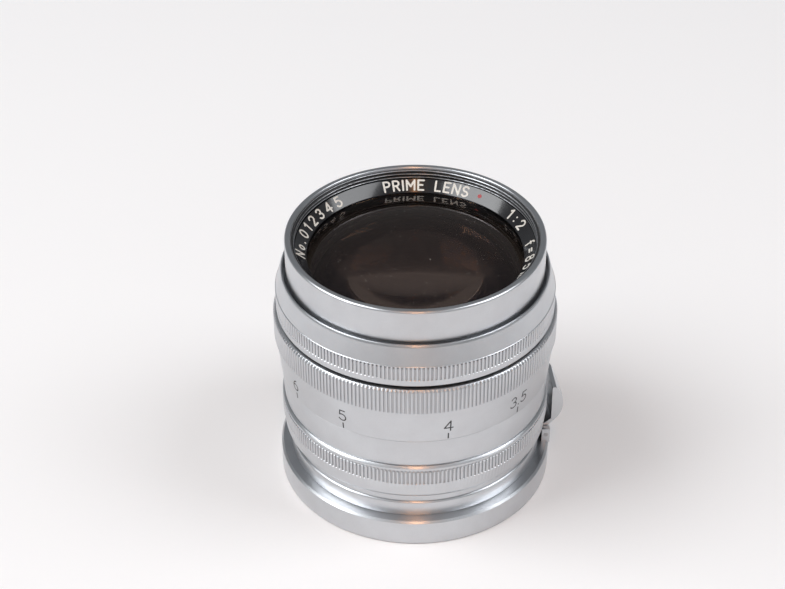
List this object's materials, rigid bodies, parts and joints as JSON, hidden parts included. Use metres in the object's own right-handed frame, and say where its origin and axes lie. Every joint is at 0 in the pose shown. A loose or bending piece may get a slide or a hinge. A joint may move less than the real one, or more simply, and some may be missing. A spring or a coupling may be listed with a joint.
{
  "type": "prime camera lens",
  "caption": "Fixed focal length camera lens with a rear outer bayonet skirt and release lever, turning focus and aperture rings, a sliding optical head and a bladed iris.",
  "frame": {"origin": "centre of the circle on which the bayonet skirt stands, at the rear edge of the lens", "axes": "+Z along the optical axis towards the subject; +Y through the focus and aperture indexes; the release lever is near +X"},
  "size_m": [0.0589, 0.0566, 0.0559],
  "materials": {
    "satin_chrome": "satin chrome plate on turned brass, finely knurled grips",
    "steel": "plain steel screws, pin and leaf spring",
    "brass": "bare turned brass, lightly oiled",
    "black_barrel": "black lacquered brass",
    "matt_black": "matt black anti-reflection lacquer",
    "black_enamel": "glossy black enamel with white and red engraving",
    "glass": "polished optical glass with a single-layer coating",
    "blade_steel": "blued spring steel, dry"
  },
  "bodies": {
    "barrel": {"bayonet_ring": "satin_chrome", "fixed_barrel": "satin_chrome", "grip_ring": "satin_chrome", "flange_screws": "steel", "focus_key": "brass", "key_screws": "steel", "guide_screws": "steel", "lever_pin": "steel", "lever_spring": "steel", "spring_screw": "steel"},
    "focus": {"focus_ring": "satin_chrome", "focus_sleeve": "brass", "coupling_ring": "brass", "focus_ring_screws": "steel"},
    "head": {"lens_head": "black_barrel", "filter_rim": "satin_chrome", "name_ring": "black_enamel", "front_cell": "matt_black", "front_element": "glass", "triplet_cell": "matt_black", "triplet_front": "glass", "triplet_middle": "glass", "triplet_rear": "glass", "triplet_retainer": "matt_black", "iris_base": "matt_black", "rear_cell": "matt_black", "rear_element": "glass", "rear_retainer": "matt_black"},
    "aperture": {"aperture_ring": "satin_chrome", "aperture_drive_screw": "steel", "iris_drive_ring": "matt_black"},
    "lever": {"release_lever": "satin_chrome"},
    "blade_01": {"iris_blade_01": "blade_steel"},
    "blade_02": {"iris_blade_02": "blade_steel"},
    "blade_03": {"iris_blade_03": "blade_steel"},
    "blade_04": {"iris_blade_04": "blade_steel"},
    "blade_05": {"iris_blade_05": "blade_steel"},
    "blade_06": {"iris_blade_06": "blade_steel"},
    "blade_07": {"iris_blade_07": "blade_steel"},
    "blade_08": {"iris_blade_08": "blade_steel"},
    "blade_09": {"iris_blade_09": "blade_steel"},
    "blade_10": {"iris_blade_10": "blade_steel"},
    "blade_11": {"iris_blade_11": "blade_steel"},
    "blade_12": {"iris_blade_12": "blade_steel"}
  },
  "joints": [
    {"name": "focus_turn", "type": "hinge", "parent": "barrel", "child": "focus", "pos_m": [0, 0, 0.03], "axis": [0, 0, 1], "range_deg": [-227, 0]},
    {"name": "head_slide", "type": "slide", "parent": "barrel", "child": "head", "axis": [0, 0, 1], "range_m": [0, 0.00813]},
    {"name": "aperture_turn", "type": "hinge", "parent": "head", "child": "aperture", "pos_m": [0, 0, 0.044], "axis": [0, 0, 1], "range_deg": [0, 70]},
    {"name": "lever_press", "type": "hinge", "parent": "barrel", "child": "lever", "pos_m": [0.0266, 0.0028, 0.0074], "axis": [0.1045, -0.9945, 0], "range_deg": [0, 3.5], "stiffness_Nm_per_rad": 0.5, "springref_deg": -2.86},
    {"name": "blade_01_swing", "type": "hinge", "parent": "head", "child": "blade_01", "pos_m": [0.0206, 0, 0.023], "axis": [0, 0, 1], "range_deg": [0, 34.8]},
    {"name": "blade_02_swing", "type": "hinge", "parent": "head", "child": "blade_02", "pos_m": [0.01784, 0.0103, 0.023], "axis": [0, 0, 1], "range_deg": [0, 34.8]},
    {"name": "blade_03_swing", "type": "hinge", "parent": "head", "child": "blade_03", "pos_m": [0.0103, 0.01784, 0.023], "axis": [0, 0, 1], "range_deg": [0, 34.8]},
    {"name": "blade_04_swing", "type": "hinge", "parent": "head", "child": "blade_04", "pos_m": [0, 0.0206, 0.023], "axis": [0, 0, 1], "range_deg": [0, 34.8]},
    {"name": "blade_05_swing", "type": "hinge", "parent": "head", "child": "blade_05", "pos_m": [-0.0103, 0.01784, 0.023], "axis": [0, 0, 1], "range_deg": [0, 34.8]},
    {"name": "blade_06_swing", "type": "hinge", "parent": "head", "child": "blade_06", "pos_m": [-0.01784, 0.0103, 0.023], "axis": [0, 0, 1], "range_deg": [0, 34.8]},
    {"name": "blade_07_swing", "type": "hinge", "parent": "head", "child": "blade_07", "pos_m": [-0.0206, 0, 0.023], "axis": [0, 0, 1], "range_deg": [0, 34.8]},
    {"name": "blade_08_swing", "type": "hinge", "parent": "head", "child": "blade_08", "pos_m": [-0.01784, -0.0103, 0.023], "axis": [0, 0, 1], "range_deg": [0, 34.8]},
    {"name": "blade_09_swing", "type": "hinge", "parent": "head", "child": "blade_09", "pos_m": [-0.0103, -0.01784, 0.023], "axis": [0, 0, 1], "range_deg": [0, 34.8]},
    {"name": "blade_10_swing", "type": "hinge", "parent": "head", "child": "blade_10", "pos_m": [0, -0.0206, 0.023], "axis": [0, 0, 1], "range_deg": [0, 34.8]},
    {"name": "blade_11_swing", "type": "hinge", "parent": "head", "child": "blade_11", "pos_m": [0.0103, -0.01784, 0.023], "axis": [0, 0, 1], "range_deg": [0, 34.8]},
    {"name": "blade_12_swing", "type": "hinge", "parent": "head", "child": "blade_12", "pos_m": [0.01784, -0.0103, 0.023], "axis": [0, 0, 1], "range_deg": [0, 34.8]}
  ],
  "couplings": [
    {"joint": "head_slide", "follows": "focus_turn", "m_per_rad": -0.0020521},
    {"joint": "blade_01_swing", "follows": "aperture_turn", "ratio": 0.49421},
    {"joint": "blade_02_swing", "follows": "aperture_turn", "ratio": 0.49421},
    {"joint": "blade_03_swing", "follows": "aperture_turn", "ratio": 0.49421},
    {"joint": "blade_04_swing", "follows": "aperture_turn", "ratio": 0.49421},
    {"joint": "blade_05_swing", "follows": "aperture_turn", "ratio": 0.49421},
    {"joint": "blade_06_swing", "follows": "aperture_turn", "ratio": 0.49421},
    {"joint": "blade_07_swing", "follows": "aperture_turn", "ratio": 0.49421},
    {"joint": "blade_08_swing", "follows": "aperture_turn", "ratio": 0.49421},
    {"joint": "blade_09_swing", "follows": "aperture_turn", "ratio": 0.49421},
    {"joint": "blade_10_swing", "follows": "aperture_turn", "ratio": 0.49421},
    {"joint": "blade_11_swing", "follows": "aperture_turn", "ratio": 0.49421},
    {"joint": "blade_12_swing", "follows": "aperture_turn", "ratio": 0.49421}
  ]
}
